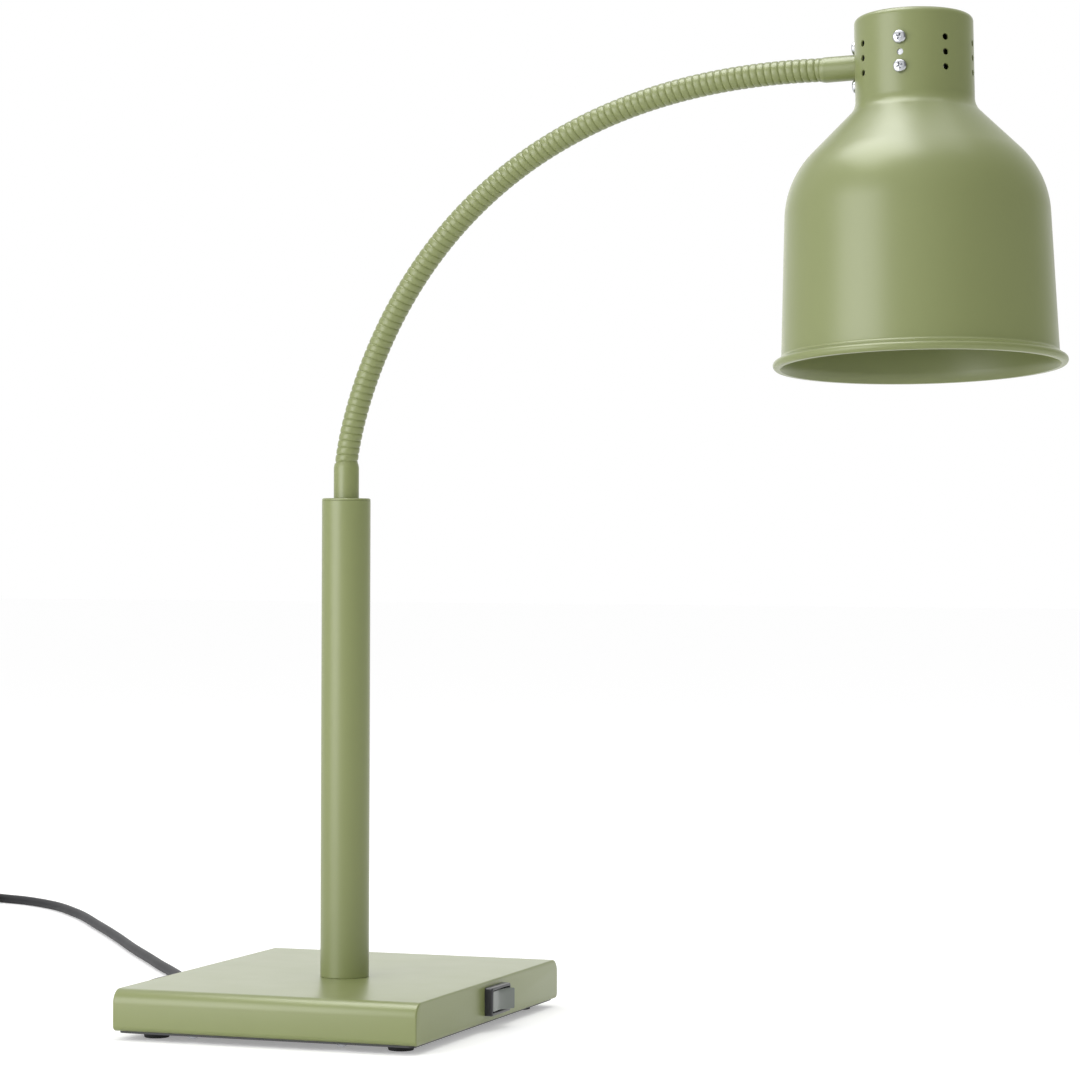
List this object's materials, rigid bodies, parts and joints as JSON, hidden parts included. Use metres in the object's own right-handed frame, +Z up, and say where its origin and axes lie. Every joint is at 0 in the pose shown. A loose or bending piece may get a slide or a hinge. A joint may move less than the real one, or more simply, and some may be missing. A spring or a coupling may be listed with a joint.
{
  "type": "heat lamp",
  "caption": "Desk-standing heat lamp: bell shade with a reflector bulb on a ribbed gooseneck, a round post and a flat weighted base with a rocker switch and mains cord.",
  "frame": {"origin": "on the table under the middle of the lamp's own box, cord and strain relief left out, so it lies 180 mm in front of the base's middle towards the shade", "axes": "+Z up, +X from the post towards the shade, so that the switch is on the base's +X face; +Y across the base, away from the viewer"},
  "size_m": [1.1855, 0.7906, 0.6092],
  "materials": {
    "powder_coat": "satin",
    "plate_paint": "satin",
    "cast_ballast": "rough",
    "zinc_screw": "brushed",
    "zinc_steel": "brushed",
    "chrome_screw": "polished",
    "black_rubber": "matte",
    "soft_black": "satin",
    "cord_rubber": "satin",
    "pvc_lead": "satin",
    "white_nylon": "matte",
    "black_plastic": "gloss",
    "grey_green_plastic": "gloss",
    "brass_part": "satin",
    "porcelain": "gloss",
    "glass_sleeve": "matte",
    "mirror_glass": "mirror",
    "frosted_glass": "frosted",
    "nickel_cap": "satin",
    "tungsten": "matte"
  },
  "bodies": {
    "base": {"base_shell": "powder_coat", "base_plate": "plate_paint", "ballast_block": "cast_ballast", "ballast_screws": "zinc_screw", "base_plate_screws": "zinc_screw", "rubber_feet": "black_rubber", "foot_screws": "zinc_screw", "foot_nuts": "zinc_screw", "terminal_block": "white_nylon", "terminal_screws": "brass_part", "earth_stud": "zinc_screw", "base_wiring": "pvc_lead", "switch_body": "black_plastic", "switch_terminals": "brass_part", "strain_relief": "soft_black", "strain_relief_nut": "black_plastic", "post_tube": "powder_coat", "post_foot_plug": "zinc_steel", "post_backing_plate": "zinc_steel", "post_nut": "zinc_screw", "post_cap": "powder_coat", "lamp_cable": "pvc_lead", "lower_ferrule": "powder_coat", "gooseneck_0": "powder_coat", "mains_cord": "cord_rubber", "cord_coil": "cord_rubber", "cord_tail": "cord_rubber", "cord_tie": "black_plastic", "plug_body": "soft_black", "plug_pins": "nickel_cap", "plug_earth_clips": "nickel_cap"},
    "neck_1": {"gooseneck_1": "powder_coat"},
    "neck_2": {"gooseneck_2": "powder_coat"},
    "neck_3": {"gooseneck_3": "powder_coat"},
    "neck_4": {"gooseneck_4": "powder_coat"},
    "neck_5": {"gooseneck_5": "powder_coat"},
    "neck_6": {"gooseneck_6": "powder_coat"},
    "neck_7": {"gooseneck_7": "powder_coat"},
    "head": {"gooseneck_8": "powder_coat", "upper_ferrule": "powder_coat", "arm_saddle": "zinc_steel", "arm_nut": "zinc_screw", "arm_screws": "chrome_screw", "shade": "powder_coat", "holder_bracket": "zinc_steel", "holder_bracket_screws": "chrome_screw", "lamp_holder": "porcelain", "holder_screws": "zinc_screw", "holder_sleeve": "brass_part", "holder_contact": "brass_part", "holder_wires": "glass_sleeve", "bulb_reflector": "mirror_glass", "bulb_lens": "frosted_glass", "bulb_cap": "nickel_cap", "bulb_insulator": "black_plastic", "bulb_contact": "nickel_cap", "bulb_filament": "tungsten"},
    "rocker": {"switch_rocker": "grey_green_plastic"}
  },
  "joints": [
    {"name": "bend_1", "type": "hinge", "parent": "base", "child": "neck_1", "pos_m": [-0.16255, -0.0133, 0.39201], "axis": [0, 1, 0], "range_deg": [-12, 12]},
    {"name": "sway_1", "type": "hinge", "parent": "neck_1", "child": "neck_2", "pos_m": [-0.14392, -0.0133, 0.43444], "axis": [-0.8796, 0, 0.4757], "range_deg": [-10, 10]},
    {"name": "bend_2", "type": "hinge", "parent": "neck_2", "child": "neck_3", "pos_m": [-0.1185, -0.0133, 0.47318], "axis": [0, 1, 0], "range_deg": [-12, 12]},
    {"name": "sway_2", "type": "hinge", "parent": "neck_3", "child": "neck_4", "pos_m": [-0.08667, -0.0133, 0.50684], "axis": [-0.6613, 0, 0.7501], "range_deg": [-10, 10]},
    {"name": "bend_3", "type": "hinge", "parent": "neck_4", "child": "neck_5", "pos_m": [-0.04929, -0.0133, 0.53421], "axis": [0, 1, 0], "range_deg": [-12, 12]},
    {"name": "sway_3", "type": "hinge", "parent": "neck_5", "child": "neck_6", "pos_m": [-0.00771, -0.0133, 0.55466], "axis": [-0.3658, 0, 0.9307], "range_deg": [-10, 10]},
    {"name": "bend_4", "type": "hinge", "parent": "neck_6", "child": "neck_7", "pos_m": [0.03658, -0.0133, 0.56831], "axis": [0, 1, 0], "range_deg": [-12, 12]},
    {"name": "sway_4", "type": "hinge", "parent": "neck_7", "child": "head", "pos_m": [0.08232, -0.0133, 0.57584], "axis": [-0.1028, 0, 0.9947], "range_deg": [-10, 10]},
    {"name": "switch_press", "type": "hinge", "parent": "base", "child": "rocker", "pos_m": [-0.08276, 0.0063, 0.0182], "axis": [0, 0, 1], "range_deg": [0, 24]}
  ],
  "couplings": [
    {"joint": "bend_2", "follows": "bend_1", "ratio": 1},
    {"joint": "bend_3", "follows": "bend_1", "ratio": 1},
    {"joint": "bend_4", "follows": "bend_1", "ratio": 1},
    {"joint": "sway_2", "follows": "sway_1", "ratio": 1},
    {"joint": "sway_3", "follows": "sway_1", "ratio": 1},
    {"joint": "sway_4", "follows": "sway_1", "ratio": 1}
  ]
}
